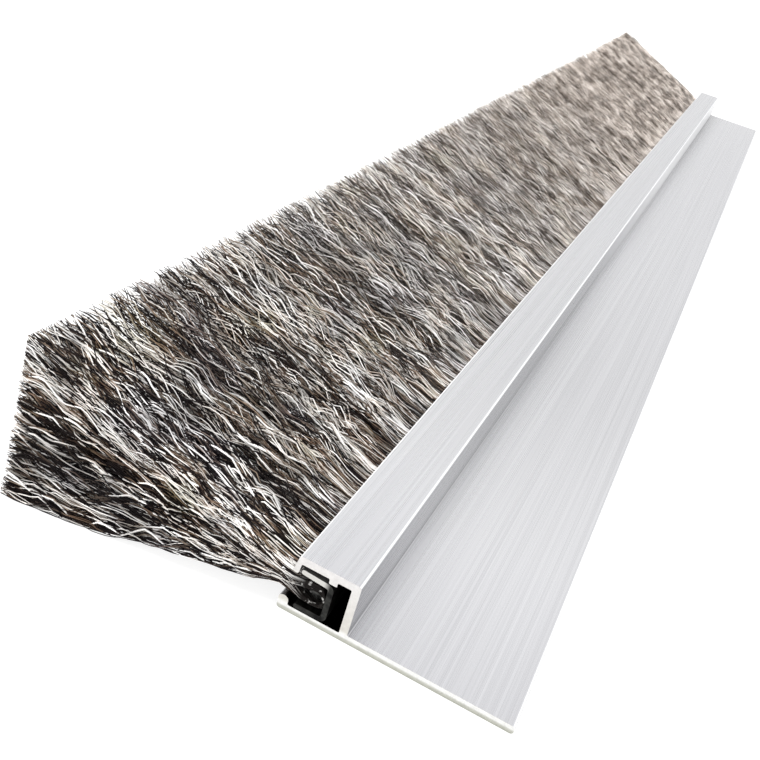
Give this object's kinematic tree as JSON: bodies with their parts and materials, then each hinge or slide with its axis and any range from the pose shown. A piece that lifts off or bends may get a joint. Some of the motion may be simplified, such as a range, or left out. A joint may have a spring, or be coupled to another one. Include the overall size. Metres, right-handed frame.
{
  "type": "brush door sweep",
  "caption": "Door-bottom brush sweep: a flat aluminium flange with a channel along one edge that holds a slide-in strip of crimped bristles.",
  "frame": {"origin": "centre of the flat back face, at half the length and half the width of the carrier", "axes": "+X along the sweep, +Y from the flange's free edge towards the bristle tips, +Z the outward normal of the flange's front face"},
  "size_m": [0.41, 0.0725, 0.0212],
  "materials": {
    "carrier_aluminium": "fine brushed along the length, satin",
    "backing_steel": "galvanised, dull",
    "wire_steel": "drawn wire",
    "bristles": "crimped filaments, black, brown and pale grey mixed, slightly glossy"
  },
  "bodies": {
    "carrier": {"carrier": "carrier_aluminium"},
    "brush_strip": {"brush_channel": "backing_steel", "core_wire": "wire_steel", "bristle_root": "bristles"},
    "bristles": {"bristle_fan": "bristles"}
  },
  "joints": [
    {"name": "brush_slide", "type": "slide", "parent": "carrier", "child": "brush_strip", "axis": [1, 0, 0], "range_m": [0, 0.4]},
    {"name": "bristle_flex", "type": "hinge", "parent": "brush_strip", "child": "bristles", "pos_m": [0, 0.0166, 0.0046], "axis": [1, 0, 0], "range_deg": [-15, 30], "stiffness_Nm_per_rad": 0.5}
  ]
}
